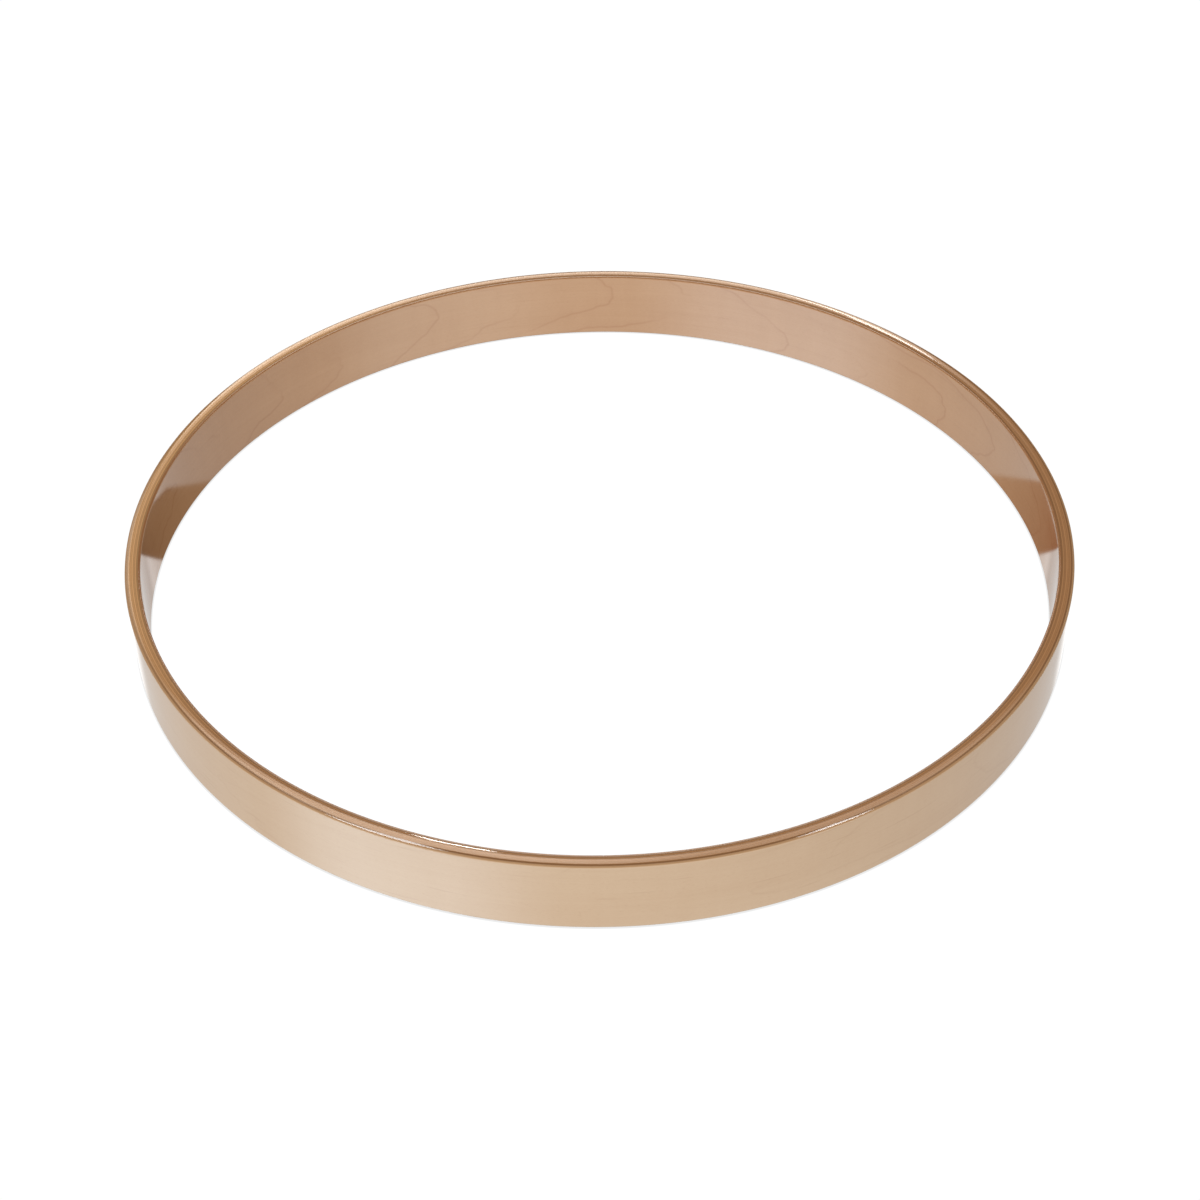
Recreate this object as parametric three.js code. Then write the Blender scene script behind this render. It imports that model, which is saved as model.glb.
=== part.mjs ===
// A bass drum hoop: maple veneer strips bent into a ring and glued face to face. Its edges are crowned
// and rounded. Millimetres, +Z up. The origin is the centre of the ring on the surface that its bottom
// edge rests on.
import * as THREE from "three";

// Sizes of the hoop. Each edge is crowned, which leaves its middle higher than its sides, and rounded.
const outerDiameter = 590;
const hoopHeight = 48;
const crownHeight = 0.4;
const edgeRadius = 0.9;

// Thickness of each kind of veneer
const faceVeneer = 1.3;
const coreVeneer = 1.1;
const crossVeneer = 0.9;

// Butt seam between the ends of a strip, filled with glue
const seamGap = 0.3;

// The layup from the inside out. A long ply is one strip with its grain round the ring.
// A cross ply has its grain up the ring, and two strips, because veneer is too narrow across the grain.
const layup = [
  { name: "inner_face_ply", veneer: faceVeneer, look: "face", strips: 1 },
  { name: "cross_ply_2", veneer: crossVeneer, look: "cross", strips: 2 },
  { name: "core_ply_3", veneer: coreVeneer, look: "core", strips: 1 },
  { name: "cross_ply_4", veneer: crossVeneer, look: "cross", strips: 2 },
  { name: "core_ply_5", veneer: coreVeneer, look: "core", strips: 1 },
  { name: "cross_ply_6", veneer: crossVeneer, look: "cross", strips: 2 },
  { name: "core_ply_7", veneer: coreVeneer, look: "core", strips: 1 },
  { name: "cross_ply_8", veneer: crossVeneer, look: "cross", strips: 2 },
  { name: "outer_face_ply", veneer: faceVeneer, look: "face", strips: 1 },
];
const stripNames = ["first_half", "second_half"];

const looks = {
  face: { color: 0xcdb292, roughness: 0.22, metalness: 0 },
  core: { color: 0xb98f63, roughness: 0.3, metalness: 0 },
  cross: { color: 0x936b47, roughness: 0.35, metalness: 0 },
};

// Seams step round the ring from ply to ply, so that no two lie over each other.
// The inner face's seam is at the front and the outer face's at the back.
const facetCount = 96;
const fullTurn = 2 * Math.PI;
const firstSeamShare = 12 / 16;
const seamStepShare = 5 / 16;

// Steps that each rounding is faceted in. A step this near to a ply's face gives way to the face.
const edgeSteps = 4;
const leastStepShare = 1 / 20;

const outerRadius = outerDiameter / 2;
const hoopThickness = layup.reduce((sum, ply) => sum + ply.veneer, 0);
const innerRadius = outerRadius - hoopThickness;
const middleRadius = (innerRadius + outerRadius) / 2;
const halfLand = layup[(layup.length - 1) / 2].veneer / 2;

// Facet corners where a ply's strips end. Its first seam comes first.
function seamCorners(plyIndex) {
  const corners = [];
  for (let strip = 0; strip < layup[plyIndex].strips; strip++) {
    const share = firstSeamShare + plyIndex * seamStepShare + strip / layup[plyIndex].strips;
    corners.push(Math.round((share % 1) * facetCount) % facetCount);
  }
  return corners;
}

// Every ply uses the same angles, so neighbours meet face to face. A facet corner with a seam
// becomes two angles, one on each side of the seam.
const halfSeamAngle = seamGap / 2 / outerRadius;
const seamed = new Set(layup.flatMap((ply, index) => seamCorners(index)));
const before = (corner) => (corner / facetCount) * fullTurn - halfSeamAngle;
const after = (corner) => (corner / facetCount) * fullTurn + halfSeamAngle;

// Angles of a strip that runs from one seam to the next, which may be the same corner again.
function stripAngles(startCorner, endCorner) {
  const last = endCorner > startCorner ? endCorner : endCorner + facetCount;
  const angles = [after(startCorner)];
  for (let corner = startCorner + 1; corner < last; corner++) {
    if (seamed.has(corner % facetCount)) angles.push(before(corner), after(corner));
    else angles.push((corner / facetCount) * fullTurn);
  }
  angles.push(before(last));
  return angles;
}

// How far an edge lies below its flat land, which is the middle ply, at a radius.
function edgeDrop(radius) {
  const fromMiddle = Math.abs(radius - middleRadius);
  const slope = Math.max(fromMiddle - halfLand, 0) / (hoopThickness / 2 - halfLand);
  const intoRounding = Math.max(fromMiddle - (hoopThickness / 2 - edgeRadius), 0);
  const rounding = edgeRadius - Math.sqrt(Math.max(edgeRadius ** 2 - intoRounding ** 2, 0));
  return crownHeight * slope ** 2 + rounding;
}

// Radii at which a ply's section has points: its two faces, and the steps of the rounding between them.
function sectionRadii(inside, outside) {
  const leastStep = edgeRadius * leastStepShare;
  const radii = [inside];
  for (let step = 0; step <= edgeSteps; step++) {
    const fromFace = edgeRadius * (1 - Math.cos(((step / edgeSteps) * Math.PI) / 2));
    for (const radius of [innerRadius + fromFace, outerRadius - fromFace]) {
      if (radius > inside + leastStep && radius < outside - leastStep) radii.push(radius);
    }
  }
  radii.push(outside);
  return radii.sort((a, b) => a - b);
}

// A closed strip: the section between two radii, carried round the given angles, with an end cap at each.
function stripGeometry(inside, outside, angles) {
  const radii = sectionRadii(inside, outside);
  const bottom = radii.map((radius) => [radius, edgeDrop(radius)]);
  const top = radii.map((radius) => [radius, hoopHeight - edgeDrop(radius)]).reverse();
  const section = [...bottom, ...top];
  const size = section.length;
  const positions = angles.flatMap((angle) =>
    section.flatMap(([radius, z]) => [radius * Math.cos(angle), radius * Math.sin(angle), z]),
  );
  const faces = [];
  const addQuad = (a, b, c, d) => faces.push(a, b, c, a, c, d);
  for (let column = 0; column + 1 < angles.length; column++) {
    for (let point = 0; point < size; point++) {
      const here = column * size;
      const there = here + size;
      const next = (point + 1) % size;
      addQuad(here + point, there + point, there + next, here + next);
    }
  }
  const end = (angles.length - 1) * size;
  for (let step = 0; step + 1 < radii.length; step++) {
    const low = step;
    const high = size - 1 - step;
    addQuad(low, low + 1, high - 1, high);
    addQuad(end + low, end + high, end + high - 1, end + low + 1);
  }
  const geometry = new THREE.BufferGeometry();
  geometry.setAttribute("position", new THREE.Float32BufferAttribute(positions, 3));
  geometry.setIndex(faces);
  geometry.computeVertexNormals();
  return geometry;
}

const hoop = new THREE.Group();
let inside = innerRadius;
layup.forEach((ply, index) => {
  const outside = inside + ply.veneer;
  const corners = seamCorners(index);
  for (let strip = 0; strip < ply.strips; strip++) {
    const angles = stripAngles(corners[strip], corners[(strip + 1) % ply.strips]);
    const material = new THREE.MeshStandardMaterial(looks[ply.look]);
    const mesh = new THREE.Mesh(stripGeometry(inside, outside, angles), material);
    mesh.name = ply.strips === 1 ? ply.name : `${ply.name}_${stripNames[strip]}`;
    hoop.add(mesh);
  }
  inside = outside;
});

export default hoop;
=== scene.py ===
import math

import bpy
import numpy as np
from mathutils import Matrix, Vector


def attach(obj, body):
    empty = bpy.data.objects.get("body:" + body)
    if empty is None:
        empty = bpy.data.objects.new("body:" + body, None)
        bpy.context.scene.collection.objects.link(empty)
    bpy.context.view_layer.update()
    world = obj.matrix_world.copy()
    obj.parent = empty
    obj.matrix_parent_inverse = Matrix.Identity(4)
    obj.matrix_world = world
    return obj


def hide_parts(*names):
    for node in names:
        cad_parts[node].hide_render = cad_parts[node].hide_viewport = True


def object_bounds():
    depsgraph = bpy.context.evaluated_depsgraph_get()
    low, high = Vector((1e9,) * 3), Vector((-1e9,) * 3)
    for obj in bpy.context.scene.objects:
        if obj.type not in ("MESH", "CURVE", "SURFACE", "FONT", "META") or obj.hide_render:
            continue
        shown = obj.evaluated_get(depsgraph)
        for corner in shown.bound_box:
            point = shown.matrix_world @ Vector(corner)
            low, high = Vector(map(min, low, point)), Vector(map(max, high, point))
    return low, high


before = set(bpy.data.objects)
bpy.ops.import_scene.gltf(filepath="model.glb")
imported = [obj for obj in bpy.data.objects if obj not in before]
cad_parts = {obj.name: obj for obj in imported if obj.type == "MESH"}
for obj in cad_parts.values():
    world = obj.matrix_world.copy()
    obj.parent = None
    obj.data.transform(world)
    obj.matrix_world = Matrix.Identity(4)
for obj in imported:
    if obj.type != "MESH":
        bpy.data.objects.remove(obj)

cadLow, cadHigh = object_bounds()
outerRadius = cadHigh.x
hoopHeight = cadHigh.z
mm = 0.001
print("frame loaded")


# Section of the hoop, the same as the solids have
hoop = {
    "crown": 0.4 * mm,             # how far the crowned edge falls from its middle ply to its sides
    "rounding": 0.9 * mm,          # radius at each corner of the section
    "seam": 0.12 * mm,             # open joint between the ends of a strip
    "firstSeamShare": 12 / 16,     # share of a turn at which the inner face's seam lies
    "seamStepShare": 5 / 16,       # how far the seams step round from ply to ply
    "turnSteps": 720,              # steps in a full turn
    "crownSteps": 7,               # steps across one ply's edge
    "roundingSteps": 12,           # steps in a rounding
    "wallSteps": 6,                # steps up a face
    "clearance": 1.05,             # the even steps start this many roundings away from a face
    "slack": 1e-6 * mm,            # lengths that differ by less are the same
    "leastLevel": 1e-4 * mm,       # keeps the slope finite where a rounding ends upright
}

# The plies from the inside out. A shade below 1 darkens the ply's edge.
layup = [
    {"nodes": ["inner_face_ply"], "thick": 1.3 * mm, "look": "face", "shade": 1.0},
    {"nodes": ["cross_ply_2_first_half", "cross_ply_2_second_half"],
     "thick": 0.9 * mm, "look": "cross", "shade": 0.86},
    {"nodes": ["core_ply_3"], "thick": 1.1 * mm, "look": "core", "shade": 1.0},
    {"nodes": ["cross_ply_4_first_half", "cross_ply_4_second_half"],
     "thick": 0.9 * mm, "look": "cross", "shade": 1.18},
    {"nodes": ["core_ply_5"], "thick": 1.1 * mm, "look": "core", "shade": 1.1},
    {"nodes": ["cross_ply_6_first_half", "cross_ply_6_second_half"],
     "thick": 0.9 * mm, "look": "cross", "shade": 1.35},
    {"nodes": ["core_ply_7"], "thick": 1.1 * mm, "look": "core", "shade": 1.0},
    {"nodes": ["cross_ply_8_first_half", "cross_ply_8_second_half"],
     "thick": 0.9 * mm, "look": "cross", "shade": 0.85},
    {"nodes": ["outer_face_ply"], "thick": 1.3 * mm, "look": "face", "shade": 1.0},
]

wall = sum(ply["thick"] for ply in layup)
innerRadius = outerRadius - wall
middleRadius = outerRadius - wall / 2
halfLand = layup[len(layup) // 2]["thick"] / 2   # the land is the level top of the middle ply


def edgeDrop(radius):
    # crown * ((distance from the middle - half the land) / (half the wall - half the land))^2,
    # and in the rounding another rounding - sqrt(rounding^2 - (way into the rounding)^2)
    fromMiddle = np.abs(radius - middleRadius)
    slope = np.maximum(fromMiddle - halfLand, 0) / (wall / 2 - halfLand)
    into = np.clip(fromMiddle - (wall / 2 - hoop["rounding"]), 0, hoop["rounding"])
    return hoop["crown"] * slope ** 2 + hoop["rounding"] - np.sqrt(hoop["rounding"] ** 2 - into ** 2)


def edgeRadii(inside, outside):
    # radii across a ply's edge: even steps, and in a rounding even steps of its quarter circle
    radii = np.linspace(inside, outside, hoop["crownSteps"] + 1)
    bend = hoop["rounding"] * (1 - np.cos(np.linspace(0, math.pi / 2, hoop["roundingSteps"] + 1)))
    clear = hoop["rounding"] * hoop["clearance"]
    if inside < innerRadius + hoop["rounding"] / 2:
        radii = np.append(innerRadius + bend, radii[radii > innerRadius + clear])
    if outside > outerRadius - hoop["rounding"] / 2:
        radii = np.append(radii[radii < outerRadius - clear], (outerRadius - bend)[::-1])
    # a rounding wider than the face ply would run into its neighbour
    assert radii[0] > inside - hoop["slack"] and radii[-1] < outside + hoop["slack"]
    return radii


def edgeSlope(radius):
    # derivative of the drop: 2 * crown * (distance from the land) / (half the wall - half the land)^2,
    # plus in a rounding (way in) / sqrt(rounding^2 - (way in)^2)
    out = radius - middleRadius
    fromMiddle = np.abs(out)
    span = wall / 2 - halfLand
    into = np.clip(fromMiddle - (wall / 2 - hoop["rounding"]), 0, hoop["rounding"])
    level = np.sqrt(np.maximum(hoop["rounding"] ** 2 - into ** 2, hoop["leastLevel"] ** 2))
    crowned = 2 * hoop["crown"] * np.maximum(fromMiddle - halfLand, 0) / span ** 2
    return np.sign(out) * (crowned + into / level)


def stripMesh(name, inside, outside, start, end):
    # Closed strip: the section (radius, height) carried round from the angle start to the angle end:
    # x = radius * cos(angle), y = radius * sin(angle). Each end has a cap.
    radii = edgeRadii(inside, outside)
    drop = edgeDrop(radii)
    slope = edgeSlope(radii)
    lean = np.stack([slope, np.ones(len(slope))], axis=-1) / np.hypot(slope, 1)[:, None]
    heights = np.linspace(drop[-1], hoopHeight - drop[-1], hoop["wallSteps"] + 1)
    innerHeights = np.linspace(hoopHeight - drop[0], drop[0], hoop["wallSteps"] + 1)
    # each side of the section: radii, heights and normals
    sides = [
        (radii, drop, lean * (1, -1)),
        (np.full(len(heights), outside), heights, np.tile((1.0, 0.0), (len(heights), 1))),
        (radii[::-1], hoopHeight - drop[::-1], lean[::-1]),
        (np.full(len(heights), inside), innerHeights, np.tile((-1.0, 0.0), (len(heights), 1))),
    ]
    sectionRadii = np.concatenate([side[0][:-1] for side in sides])
    sectionHeights = np.concatenate([side[1][:-1] for side in sides])
    size = len(sectionRadii)
    leanHere = np.concatenate([side[2][:-1] for side in sides])
    leanNext = np.concatenate([side[2][1:] for side in sides])
    steps = round(hoop["turnSteps"] * (end - start) / (2 * math.pi))
    angles = np.linspace(start, end, steps + 1)
    ring, angle = np.meshgrid(sectionRadii, angles)
    up = np.tile(sectionHeights, (steps + 1, 1))
    points = np.stack([ring * np.cos(angle), ring * np.sin(angle), up], axis=-1)
    column, row = np.meshgrid(np.arange(steps), np.arange(size), indexing="ij")
    here = column * size + row
    above = column * size + (row + 1) % size
    quads = np.stack([here, here + size, above + size, above], axis=-1).reshape(-1, 4)
    caps = [np.arange(size), np.arange(steps * size, (steps + 1) * size)[::-1]]
    mesh = bpy.data.meshes.new(name)
    faces = quads.tolist() + [cap.tolist() for cap in caps]
    mesh.from_pydata(points.reshape(-1, 3).tolist(), [], faces)
    along = mesh.attributes.new("along", "FLOAT", "POINT")
    metres = np.repeat((angles - start) * middleRadius, size)
    along.data.foreach_set("value", metres.astype(np.float32))
    leans = np.stack([leanHere, leanHere, leanNext, leanNext], axis=1)
    turns = np.stack([angles[:-1], angles[1:], angles[1:], angles[:-1]], axis=1)
    out = leans[None, :, :, 0]
    normals = np.stack([
        out * np.cos(turns)[:, None, :],
        out * np.sin(turns)[:, None, :],
        np.broadcast_to(leans[None, :, :, 1], (steps, size, 4)),
    ], axis=-1).reshape(-1, 3)
    capNormals = [np.tile((math.sin(start), -math.cos(start), 0.0), (size, 1)),
                  np.tile((-math.sin(end), math.cos(end), 0.0), (size, 1))]
    mesh.polygons.foreach_set("use_smooth", np.ones(len(mesh.polygons), bool))
    mesh.normals_split_custom_set(np.concatenate([normals, *capNormals]).tolist())
    return mesh


class Flow:
    # A socket of a shader. Sums, differences, products, quotients and powers of flows add Math nodes.
    def __init__(self, tree, socket=None):
        self.tree = tree
        self.socket = socket

    def make(self, kind, settings=(), values=(), out=0):
        # any node: its settings, then the values or links of its sockets, and the output to go on from
        node = self.tree.nodes.new(kind)
        for key, value in dict(settings).items():
            setattr(node, key, value)
        for key, value in dict(values).items():
            if isinstance(value, Flow):
                self.tree.links.new(value.socket, node.inputs[key])
            else:
                node.inputs[key].default_value = value
        return Flow(self.tree, node.outputs[out] if len(node.outputs) else None)

    def math(self, operation, *values):
        return self.make("ShaderNodeMath", {"operation": operation}, dict(enumerate(values)))

    def __add__(self, other):
        return self.math("ADD", self, other)

    def __radd__(self, other):
        return self.math("ADD", other, self)

    def __sub__(self, other):
        return self.math("SUBTRACT", self, other)

    def __rsub__(self, other):
        return self.math("SUBTRACT", other, self)

    def __mul__(self, other):
        return self.math("MULTIPLY", self, other)

    def __rmul__(self, other):
        return self.math("MULTIPLY", other, self)

    def __truediv__(self, other):
        return self.math("DIVIDE", self, other)

    def __pow__(self, other):
        return self.math("POWER", self, other)

    def clamp(self):
        return self.make("ShaderNodeClamp", {}, {"Value": self})

    def between(self, low, high):
        # 0 below low, 1 above high, and a smooth rise between them
        return self.make("ShaderNodeMapRange", {"interpolation_type": "SMOOTHSTEP"},
                         {"Value": self, "From Min": low, "From Max": high})

    def fade(self, low, high):
        # 1 below low, 0 above high
        return 1.0 - self.between(low, high)

    def band(self, start, end):
        # comes up over the pair start and goes down over the pair end
        return self.between(*start) * self.fade(*end)

    def noise(self, detail, roughness):
        return self.make("ShaderNodeTexNoise", {"noise_dimensions": "3D"},
                         {"Vector": self, "Scale": 1.0, "Detail": detail, "Roughness": roughness})

    def vector(self, x, y, z):
        return self.make("ShaderNodeCombineXYZ", {}, {"X": x, "Y": y, "Z": z})

    def length(self):
        return self.make("ShaderNodeVectorMath", {"operation": "LENGTH"}, {0: self}, "Value")

    def parts(self):
        # x, y and z of this flow
        node = self.make("ShaderNodeSeparateXYZ", {}, {"Vector": self}).socket.node
        return [Flow(self.tree, node.outputs[key]) for key in "XYZ"]

    def mix(self, first, second):
        # The colour first where this flow is 0, and second where it is 1. A Mix node's colours are its
        # inputs 6 and 7 and its output 2.
        return self.make("ShaderNodeMix", {"data_type": "RGBA"},
                         {"Factor": self, 6: first, 7: second}, 2)


def newMaterial(name):
    material = bpy.data.materials.new(name)
    material.use_nodes = True
    material.node_tree.nodes.clear()
    return material, Flow(material.node_tree)


def woodPlace(flow):
    # metres along the strip, metres out from the middle of the wall, and metres up
    x, y, z = flow.make("ShaderNodeTexCoord", {}, {}, "Object").parts()
    radius = flow.vector(x, y, 0.0).length()
    along = flow.make("ShaderNodeAttribute", {"attribute_name": "along"}, {}, "Fac")
    return along, radius - middleRadius, z


def woodNoise(flow, place, shift, pattern):
    # A pattern is how many features a metre the noise has along the strip, through it and up it, and then
    # its detail and roughness. Where the place has 1.0 for a direction, the noise is the same all that way.
    along, through, up, detail, roughness = pattern
    here = flow.vector(place[0] * along + shift, place[1] * through, place[2] * up)
    return here.noise(detail, roughness)


def weigh(noise, shares, plain):
    # each noise by its share, and a plain number, added up
    total = plain
    for key, share in shares.items():
        total = total + noise[key] * share
    return total


# Clear gloss on all the wood. The wood has no gloss of its own, and its grain is a faint bump.
lacquer = {"ior": 1.5, "bump": 0.15, "bumpHeight": 0.1 * mm}


def finishWood(flow, colour, roughness, grain, coatRoughness):
    bump = flow.make("ShaderNodeBump", {}, {
        "Strength": lacquer["bump"],
        "Distance": lacquer["bumpHeight"],
        "Height": grain,
    })
    shader = flow.make("ShaderNodeBsdfPrincipled", {}, {
        "Base Color": colour,
        "Roughness": roughness,
        "Normal": bump,
        "Specular IOR Level": 0.0,
        "Coat Weight": 1.0,
        "Coat Roughness": coatRoughness,
        "Coat IOR": lacquer["ior"],
    })
    flow.make("ShaderNodeOutputMaterial", {}, {"Surface": shader})


faceWood = {
    "inner": {
        "light": (0.64, 0.45, 0.29, 1), "dark": (0.55, 0.36, 0.22, 1), "line": (0.40, 0.19, 0.10, 1),
        "spacing": 0.068, "curve": 2.4, "lines": 0.22, "dashes": 0.10,
        # the edge colours are partly the rounded edge's own tone and partly painted shade
        "edgeToneShadeLight": (0.42, 0.22, 0.10, 1), "edgeToneShadeDark": (0.30, 0.15, 0.065, 1),
    },
    "outer": {
        "light": (0.72, 0.60, 0.44, 1), "dark": (0.64, 0.50, 0.345, 1), "line": (0.45, 0.30, 0.18, 1),
        "spacing": 0.11, "curve": 3.2, "lines": 0.10, "dashes": 0.22,
        # the edge colours are partly the rounded edge's own tone and partly painted shade
        "edgeToneShadeLight": (0.56, 0.38, 0.22, 1), "edgeToneShadeDark": (0.44, 0.28, 0.15, 1),
    },
    "noise": {
        "broad": (6.0, 60.0, 26.0, 2.0, 0.5),
        "streaks": (9.0, 300.0, 460.0, 3.0, 0.6),
        "shimmer": (95.0, 40.0, 16.0, 2.0, 0.5),
        "flecks": (420.0, 1500.0, 1500.0, 2.0, 0.5),
        "dashes": (24.0, 300.0, 620.0, 1.0, 0.5),
    },
    "seedShift": 3.7,                     # how far apart the noise of two strips lies
    # Shares of the noises, and the plain number with them
    "base": ({"broad": 0.9, "streaks": 0.45, "shimmer": 0.35, "flecks": 0.5}, -0.6),
    "edge": ({"streaks": 0.8, "flecks": 0.5}, -0.2),
    "roughness": ({"streaks": 0.15}, 0.32),
    "grain": ({"streaks": 0.6, "flecks": 0.4}, 0.0),
    "dashFrom": (0.66, 0.80),             # dashes show where their noise is above this
    "fleckFrom": (0.60, 0.74),
    "fleckShare": 0.10,
    "edgeToneShadeStart": (0.05 * mm, 0.4 * mm),   # the edge's darker tone, partly painted shade, sets in this far from the face
    "coatRoughness": 0.03,
}

growth = {
    "leaning": -1.0,                      # the lines' tips point back along the strip
    "wander": (5.5, 0.3, 0.7, 1.0, 0.5),
    "wanderBy": 1.5,                      # heights of the hoop by which the midline wanders
    "bulge": (14.0, 4.0, 26.0, 3.0, 0.5),
    "bulgeBy": 1.5,                       # spacings by which a line bulges
    "step": 0.3 * mm,                     # length over which the phase's change is taken
    "line": (0.1 * mm, 1.4 * mm),         # a line is full up to the first distance, gone at the second
    "behind": ((-6.0 * mm, 0.0), (0.0, 0.5 * mm)),   # faint tone behind a line
    "behindShare": 0.16,
    "presence": (12.0, 2.0, 22.0, 1.0, 0.5),
    "presenceFrom": (0.36, 0.56),         # lines show where this noise is above this
}


def growthLine(flow, along, height, tone, shift):
    # Growth rings cut by the lathe: a phase that grows along the strip, and with the square of the height
    # off a wandering midline, passes a whole number and a half at each line. The distance from the line is
    # what the phase lacks to that, divided by how fast the phase changes there.
    def phaseAt(alongHere, heightHere):
        wander = woodNoise(flow, (alongHere, 1.0, 1.0), shift, growth["wander"])
        bulge = woodNoise(flow, (alongHere, 1.0, heightHere), shift, growth["bulge"])
        fromMidline = heightHere / hoopHeight - 0.5 - (wander - 0.5) * growth["wanderBy"]
        rings = alongHere * (growth["leaning"] / tone["spacing"])
        return rings + fromMidline ** 2.0 * tone["curve"] + bulge * growth["bulgeBy"]

    step = growth["step"]
    phase = phaseAt(along, height)
    alongSlope = (phaseAt(along + step, height) - phase) / step
    heightSlope = (phaseAt(along, height + step) - phase) / step
    steepness = (alongSlope * alongSlope + heightSlope * heightSlope) ** 0.5
    away = (flow.math("FRACT", phase) - 0.5) / steepness
    line = flow.math("ABSOLUTE", away).fade(*growth["line"])
    return line, away.band(*growth["behind"])


def faceVeneer(name, tone, seed):
    # Rotary-cut maple. Its edge, in the rounding, is darker: partly the cut edge's own tone, and partly
    # painted shade, as where the bottom rounding turns under at the foot.
    material, flow = newMaterial(name)
    along, depth, height = woodPlace(flow)
    shift = seed * faceWood["seedShift"]
    noise = {key: woodNoise(flow, (along, depth, height), shift, pattern)
             for key, pattern in faceWood["noise"].items()}
    line, behind = growthLine(flow, along, height, tone, shift)
    presence = woodNoise(flow, (along, 1.0, height), shift, growth["presence"])
    presence = presence.between(*growth["presenceFrom"])
    figure = (line * presence + behind * growth["behindShare"]) * tone["lines"]
    dashes = noise["dashes"].between(*faceWood["dashFrom"]) * tone["dashes"]
    flecks = noise["flecks"].between(*faceWood["fleckFrom"]) * faceWood["fleckShare"]
    marks = (figure + dashes + flecks).clamp()
    base = weigh(noise, *faceWood["base"]).clamp().mix(tone["light"], tone["dark"])
    # painted shade together with the edge's own tone: the darker colour in the rounding
    edgeToneShadeBase = weigh(noise, *faceWood["edge"]).clamp().mix(tone["edgeToneShadeLight"], tone["edgeToneShadeDark"])
    fromFace = wall / 2 - flow.math("ABSOLUTE", depth)
    onEdgeToneShade = fromFace.between(*faceWood["edgeToneShadeStart"])
    colour = onEdgeToneShade.mix(marks.mix(base, tone["line"]), edgeToneShadeBase)
    roughness = weigh(noise, *faceWood["roughness"])
    grain = weigh(noise, *faceWood["grain"])
    finishWood(flow, colour, roughness, grain, faceWood["coatRoughness"])
    return material


# A core ply's edge shows long grain. A cross ply's edge shows end grain, which drinks more lacquer.
edgeWood = {
    "core": {
        "light": (0.505, 0.292, 0.139, 1), "dark": (0.40, 0.225, 0.104, 1),
        "streaks": (9.0, 2200.0, 2200.0, 3.0, 0.6),
    },
    "cross": {
        "light": (0.385, 0.218, 0.101, 1), "dark": (0.29, 0.158, 0.072, 1),
        "streaks": (700.0, 1500.0, 1500.0, 3.0, 0.6),
    },
    "broad": (14.0, 200.0, 20.0, 2.0, 0.5),
    "seedShift": 5.1,
    # Shares of the noises, and the plain number with them
    "base": ({"streaks": 0.9, "broad": 0.6}, -0.3),
    "roughness": ({"streaks": 0.2}, 0.35),
    "glue": (0.13, 0.065, 0.03, 1),
    "glueReach": (0.035 * mm, 0.105 * mm),   # the glue line fades out between these depths in the ply
    "glueShare": 0.7,
    "palestAt": 165.0,              # angle round the hoop, in degrees, toward which the edges are tinted palest
    "paleFrom": (0.45, 0.97),       # cosines of the angle from there over which the tint comes in
    "paleTint": (1.52, 1.70, 1.78, 1),
    "coatRoughness": 0.04,
}


def nearPalest(flow, depth):
    # how near a place lies to the palest one, as the cosine of the angle between them
    x, y = flow.make("ShaderNodeTexCoord", {}, {}, "Object").parts()[:2]
    palest = math.radians(edgeWood["palestAt"])
    return (x * math.cos(palest) + y * math.sin(palest)) / (depth + middleRadius)


def edgeVeneer(name, tone, seed, shade, inside, outside):
    # a ply that shows its edge only, with a dark glue line at each face
    material, flow = newMaterial(name)
    place = woodPlace(flow)
    depth = place[1]
    shift = seed * edgeWood["seedShift"]
    noise = {"streaks": woodNoise(flow, place, shift, tone["streaks"]),
             "broad": woodNoise(flow, place, shift, edgeWood["broad"])}
    light, dark = ([channel * shade for channel in tone[key][:3]] + [1] for key in ("light", "dark"))
    base = weigh(noise, *edgeWood["base"]).clamp().mix(light, dark)
    pale = nearPalest(flow, depth).between(*edgeWood["paleFrom"])
    tint = pale.mix((1, 1, 1, 1), edgeWood["paleTint"])
    tinted = flow.make("ShaderNodeVectorMath", {"operation": "MULTIPLY"}, {0: base, 1: tint}, "Vector")
    fromInside = depth - (inside - middleRadius)
    fromOutside = (outside - middleRadius) - depth
    nearest = flow.math("MINIMUM", fromInside, fromOutside)
    glue = nearest.fade(*edgeWood["glueReach"]) * edgeWood["glueShare"]
    colour = glue.mix(tinted, edgeWood["glue"])
    roughness = weigh(noise, *edgeWood["roughness"])
    finishWood(flow, colour, roughness, noise["streaks"], edgeWood["coatRoughness"])
    return material


def makePlies():
    inside = innerRadius
    gap = hoop["seam"] / 2 / middleRadius
    for index, ply in enumerate(layup):
        outside = inside + ply["thick"]
        strips = len(ply["nodes"])
        for strip, node in enumerate(ply["nodes"]):
            share = (hoop["firstSeamShare"] + index * hoop["seamStepShare"] + strip / strips) % 1
            start = share * 2 * math.pi + gap
            end = (share + 1 / strips) * 2 * math.pi - gap
            name = "lacquered_" + node
            piece = bpy.data.objects.new(name, stripMesh(name, inside, outside, start, end))
            bpy.context.scene.collection.objects.link(piece)
            seed = index * 2 + strip + 1   # a number of its own for each strip
            if ply["look"] == "face":
                tone = faceWood["inner" if index == 0 else "outer"]
                material = faceVeneer(name + "_finish", tone, seed)
            else:
                tone = edgeWood[ply["look"]]
                material = edgeVeneer(name + "_finish", tone, seed, ply["shade"], inside, outside)
            piece.data.materials.append(material)
            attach(piece, "root")
            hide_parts(node)
        inside = outside


makePlies()
print("plies made")


floorSettings = {
    "half": 30.0,                        # half its side
    "glow": 1.03,
    "tone": (1, 1, 1, 1),
    "contactShadowTone": (0.8, 0.8, 0.8, 1),   # painted shadow: the floor's tone at the hoop's foot
    "contactReach": 1.0 * mm,            # how far out that reaches
}


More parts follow.
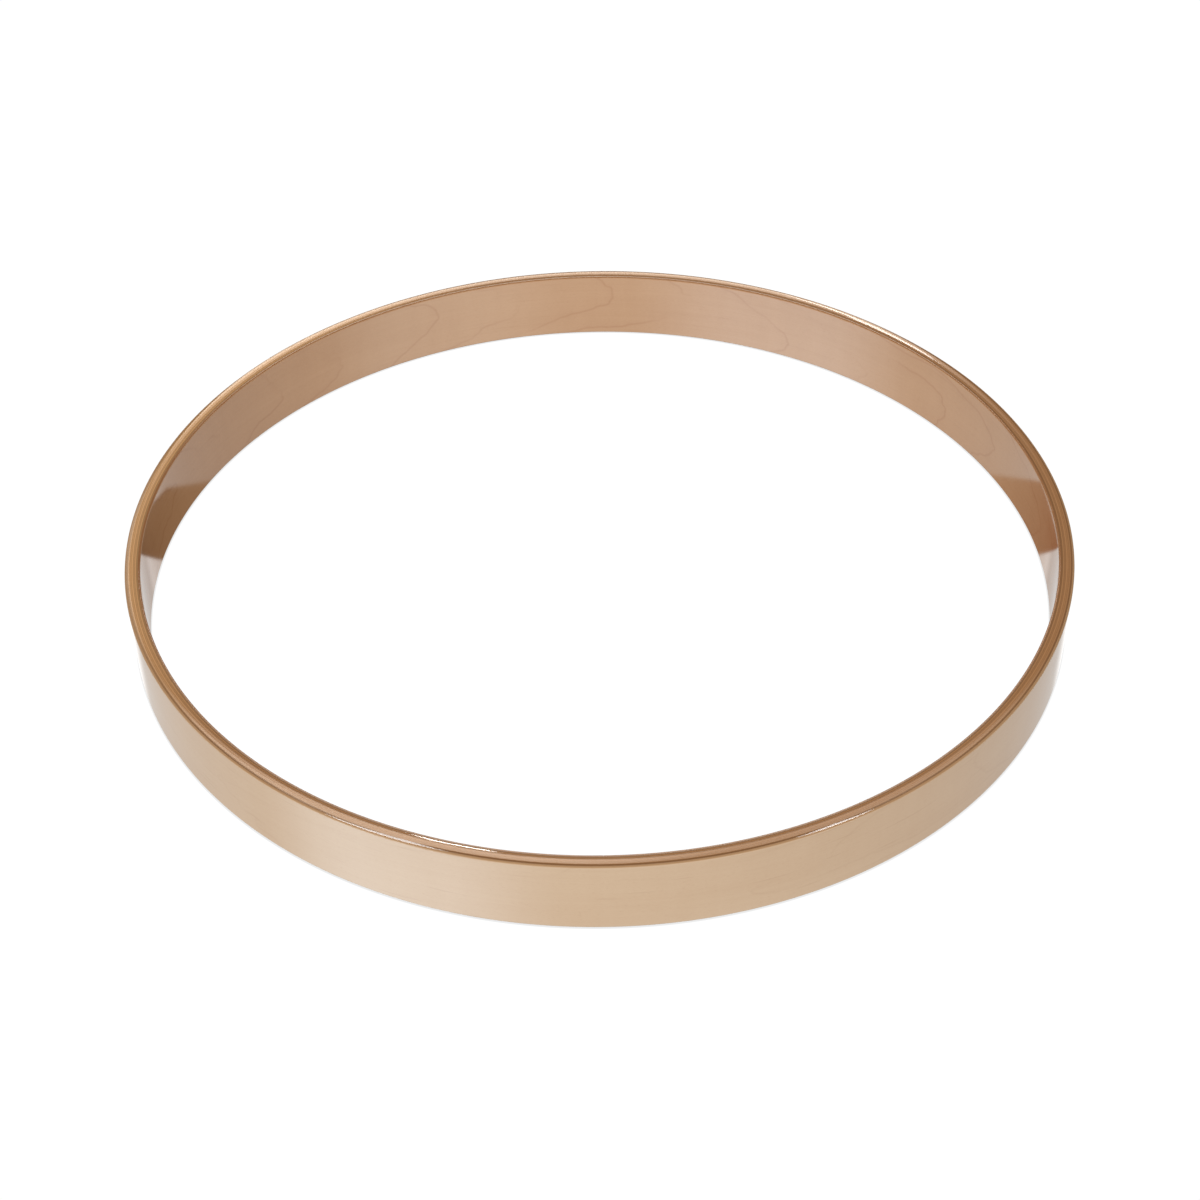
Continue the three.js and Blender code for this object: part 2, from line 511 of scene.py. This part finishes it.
def makeFloor():
    # One square at the height that the hoop stands on. It darkens close to the hoop, where its bottom
    # edge shades it: by how far a point lies outside the wall.
    half = floorSettings["half"]
    corners = [(-half, -half, 0), (half, -half, 0), (half, half, 0), (-half, half, 0)]
    mesh = bpy.data.meshes.new("floor")
    mesh.from_pydata(corners, [], [(0, 1, 2, 3)])
    floor = bpy.data.objects.new("floor", mesh)
    bpy.context.scene.collection.objects.link(floor)
    material, flow = newMaterial("white_floor")
    radius = flow.make("ShaderNodeTexCoord", {}, {}, "Object").length()
    outside = flow.math("ABSOLUTE", radius - middleRadius) - wall / 2
    contact = outside.fade(0.0, floorSettings["contactReach"])
    tone = contact.mix(floorSettings["tone"], floorSettings["contactShadowTone"])
    shader = flow.make("ShaderNodeEmission", {}, {"Color": tone, "Strength": floorSettings["glow"]})
    flow.make("ShaderNodeOutputMaterial", {}, {"Surface": shader})
    mesh.materials.append(material)
    floor.visible_glossy = False
    floor.visible_diffuse = False
    floor.visible_shadow = False


# Headings are degrees from straight back to the right, and heights, sizes, rolls and spreads are degrees
# too. A light with onWood lights only the wood, and the others show only in the lacquer. Three of those
# stand near the hoop, each aimed at the place that mirrors it.
lights = {
    "key": {
        "heading": -166, "height": 30, "size": (46, 30), "strength": 4.3, "tint": (1.0, 0.98, 1.0),
        "onWood": True,
    },
    "back_fill": {
        "heading": 0, "height": 6, "size": (60, 12), "strength": 6.5, "tint": (1.0, 0.98, 1.0),
        "onWood": True,
    },
    "back_line": {
        "heading": 9.2, "height": 30.5, "size": (2.1, 7.6), "strength": 9, "tint": (1, 0.97, 0.93),
        "roll": 12,
    },
    "front_spot": {
        "heading": -3.2, "height": 39.4, "size": (3.6, 2.9), "strength": 38, "tint": (1, 0.97, 0.92),
        "aim": (-0.0795, -0.277, 0.048), "distance": 1.0, "spread": 46,
    },
    "left_line": {
        "heading": -20.5, "height": 58.5, "size": (9, 6), "strength": 13, "tint": (1, 1, 1),
        "aim": (-0.12, -0.268, 0.048), "distance": 1.0, "spread": 46,
    },
    "right_line": {
        "heading": 22.2, "height": 58.0, "size": (5, 5), "strength": 14, "tint": (1, 1, 1),
        "aim": (0.122, -0.267, 0.048), "distance": 1.0, "spread": 46,
    },
}


def makeLight(name, heading, height, size, strength, tint, onWood=False, roll=0.0,
              aim=(0, 0, 0), distance=20.0, spread=180):
    # A soft rectangle that faces the place it is aimed at. Its side is 2 * distance * tan(size / 2). Its
    # power is strength * pi * area, less by the gain of a narrow beam: tan(half) / (tan(half) - half).
    turn, rise = math.radians(heading), math.radians(height)
    way = Vector((math.sin(turn) * math.cos(rise), math.cos(turn) * math.cos(rise), math.sin(rise)))
    half = math.radians(spread) / 2
    data = bpy.data.lights.new(name, "AREA")
    data.shape = "RECTANGLE"
    data.size, data.size_y = (2 * distance * math.tan(math.radians(side) / 2) for side in size)
    narrowed = (math.tan(half) - half) / math.tan(half)
    data.energy = strength * math.pi * data.size * data.size_y * narrowed
    data.spread = 2 * half
    data.color = tint
    light = bpy.data.objects.new(name, data)
    bpy.context.scene.collection.objects.link(light)
    turned = (-way).to_track_quat("-Z", "Y").to_matrix().to_4x4()
    rolled = Matrix.Rotation(math.radians(roll), 4, "Z")
    light.matrix_world = Matrix.Translation(Vector(aim) + way * distance) @ turned @ rolled
    light.visible_glossy = not onWood
    light.visible_diffuse = onWood
    light.visible_camera = False


# What lights the wood from all round, and what the lacquer mirrors in each direction. A pair is where a
# change starts and ends, in degrees, apart from the five pairs that are said to be for left and right.
surround = {
    "ambient": (0.45, 0.345, 0.26, 1),
    "backdrop": (1.03, 1.03, 1.03, 1),   # what shows above the floor's far edge
    "ground": 0.78,                  # pale ground below the hoop
    "groundAside": 0.42,             # it is brighter at these headings, left and right of straight back
    "asideFrom": (8.0, 14.0),
    "asideTo": (22.0, 34.0),
    "sideBlend": (-5.0, 5.0),        # over these headings the left's values pass into the right's
    # A dark gap between two sheets of the ground. These five pairs are for left and right.
    "gapLow": (-38.155, -37.95),
    "gapHigh": (-36.52, -36.42),
    "gapCorner": (28.0, 35.0),       # nearer to straight back than this, its upper edge ends lower,
    "gapCut": (0.064, 0.03),         # by this much a degree
    "gapShine": (1.0, 0.2),          # how much of the glimmer in it shows
    "gapLean": 0.0125,               # its lower edge falls by this much a degree
    "gapSoft": 0.06,                 # half the width over which its edges change
    "gapWidth": (58.0, 76.0),        # it fades out this far from straight back
    "gapTint": (0.20, 0.03, 0.0),    # warm glimmer in it
    "dim": 0.10,                     # the dim room around and above
    "groundStart": (14.0, 30.0),     # the ground comes up to full between these heights below
    "farStart": (34.5, 36.5),        # straight behind the hoop there is only a strip of it
    "farEnd": (42.5, 44.5),
    "farWidth": (22.0, 34.0),
    "glows": [                       # soft patches of light on the ground
        {"heading": -130.0, "fade": (10.0, 44.0), "end": (60.0, 70.0),
         "tint": (1.60, 1.95, 2.20)},
        {"heading": 138.0, "fade": (10.0, 38.0), "end": (38.0, 41.0),
         "tint": (0.90, 1.0, 0.95)},
    ],
    "panel": 6.0,                    # light panel straight back
    "panelStart": (15.0, 26.0),
    "panelEnd": (28.0, 38.5),
    "panelWidth": (16.0, 18.0),
    "panelRight": (9.4, 16.0),       # on the right it fades sooner
    "overhead": 5.8,                 # light above it, past a dim frame
    "overheadStart": (41.5, 46.5),
    "overheadEnd": (52.5, 57.5),
    "overheadWidth": (18.0, 28.0),
    "rightward": (-3.0, 6.0),        # the light above dims to the right
    "rightLoss": 0.55,
    "leftPatch": 2.5,                # light left of the frame
    "leftFrom": (19.0, 22.0),
    "leftTo": (24.0, 30.0),
    "leftStart": (28.0, 33.0),
    "leftEnd": (38.0, 44.0),
    "warmth": (1.0, 0.84, 0.68),
}


def makeSurround():
    # The strength is a function of heading = atan2(x, y) and height = asin(z), in degrees. The gap's
    # heights are below the horizon, so they are negative.
    world = bpy.data.worlds.new("soft_studio")
    bpy.context.scene.world = world
    world.use_nodes = True
    world.cycles.sampling_method = "NONE"
    world.node_tree.nodes.clear()
    flow = Flow(world.node_tree)
    x, y, z = flow.make("ShaderNodeTexCoord", {}, {}, "Generated").parts()
    height = flow.math("ARCSINE", z) * math.degrees(1)
    heading = flow.math("ARCTAN2", x, y) * math.degrees(1)
    aside = flow.math("ABSOLUTE", heading)
    below = 0.0 - height
    leftward = 0.0 - heading

    soft = surround["gapSoft"]
    onRight = heading.between(*surround["sideBlend"])
    low, high, corner, cut, shine = (
        onRight * (surround[key][1] - surround[key][0]) + surround[key][0]
        for key in ("gapLow", "gapHigh", "gapCorner", "gapCut", "gapShine"))
    low = low - aside * surround["gapLean"]
    top = high - flow.math("MAXIMUM", corner - aside, 0.0) * cut
    gap = height.band((low - soft, low + soft), (top - soft, top + soft))
    gap = gap * aside.fade(*surround["gapWidth"])
    glimmer = gap * shine

    sides = aside.band(surround["asideFrom"], surround["asideTo"])
    plain = sides * surround["groundAside"] + surround["ground"]
    glows = []
    for glow in surround["glows"]:
        away = flow.math("ABSOLUTE", heading - glow["heading"])
        glows.append(away.fade(*glow["fade"]) * below.fade(*glow["end"]))
    forward = aside.fade(*surround["farWidth"])
    strip = below.band(surround["farStart"], surround["farEnd"])
    lit = below.between(*surround["groundStart"]) * (1.0 - forward) + strip * forward

    panel = height.band(surround["panelStart"], surround["panelEnd"]) * surround["panel"]
    panel = panel * aside.fade(*surround["panelWidth"]) * heading.fade(*surround["panelRight"])
    above = height.band(surround["overheadStart"], surround["overheadEnd"])
    level = 1.0 - heading.between(*surround["rightward"]) * surround["rightLoss"]
    overhead = above * level * surround["overhead"] * aside.fade(*surround["overheadWidth"])
    patch = height.band(surround["leftStart"], surround["leftEnd"]) * surround["leftPatch"]
    patch = patch * leftward.band(surround["leftFrom"], surround["leftTo"])
    upper = panel + overhead + patch
    tinted = []
    for channel in range(3):
        ground = plain
        for part, glow in zip(glows, surround["glows"]):
            ground = ground + part * glow["tint"][channel]
        ground = ground * (1.0 - gap) + glimmer * surround["gapTint"][channel]
        lower = lit * (ground - surround["dim"]) + surround["dim"]
        tinted.append(lower + upper * surround["warmth"][channel])
    mirrored = flow.make("ShaderNodeCombineColor", {}, dict(zip(("Red", "Green", "Blue"), tinted)))
    isDiffuse = flow.make("ShaderNodeLightPath", {}, {}, "Is Diffuse Ray")
    isCamera = flow.make("ShaderNodeLightPath", {}, {}, "Is Camera Ray")
    colour = isCamera.mix(isDiffuse.mix(mirrored, surround["ambient"]), surround["backdrop"])
    background = flow.make("ShaderNodeBackground", {}, {"Color": colour, "Strength": 1.0})
    flow.make("ShaderNodeOutputWorld", {}, {"Surface": background})


cameraSettings = {
    "distance": 1.3741,            # from the middle of the hoop
    "elevation": 39.04,
    "pitch": 40.39,                # degrees that it looks down
    "roll": 0.81,
    "lens": 64.75,
    "sensor": 36.0,
    "reach": 200.0,                # it sees this far
}


def makeCamera():
    data = bpy.data.cameras.new("camera")
    data.lens = cameraSettings["lens"]
    data.sensor_width = cameraSettings["sensor"]
    data.clip_end = cameraSettings["reach"]
    camera = bpy.data.objects.new("camera", data)
    bpy.context.scene.collection.objects.link(camera)
    elevation = math.radians(cameraSettings["elevation"])
    place = Vector((0, -math.cos(elevation), math.sin(elevation))) * cameraSettings["distance"]
    place.z += hoopHeight / 2
    turn = Matrix.Rotation(math.radians(90 - cameraSettings["pitch"]), 4, "X")
    roll = Matrix.Rotation(-math.radians(cameraSettings["roll"]), 4, "Z")
    camera.matrix_world = Matrix.Translation(place) @ turn @ roll
    bpy.context.scene.camera = camera


makeFloor()
makeSurround()
for name, settings in lights.items():
    makeLight(name, **settings)
makeCamera()
bpy.context.scene.view_settings.view_transform = "Standard"
print("studio made")
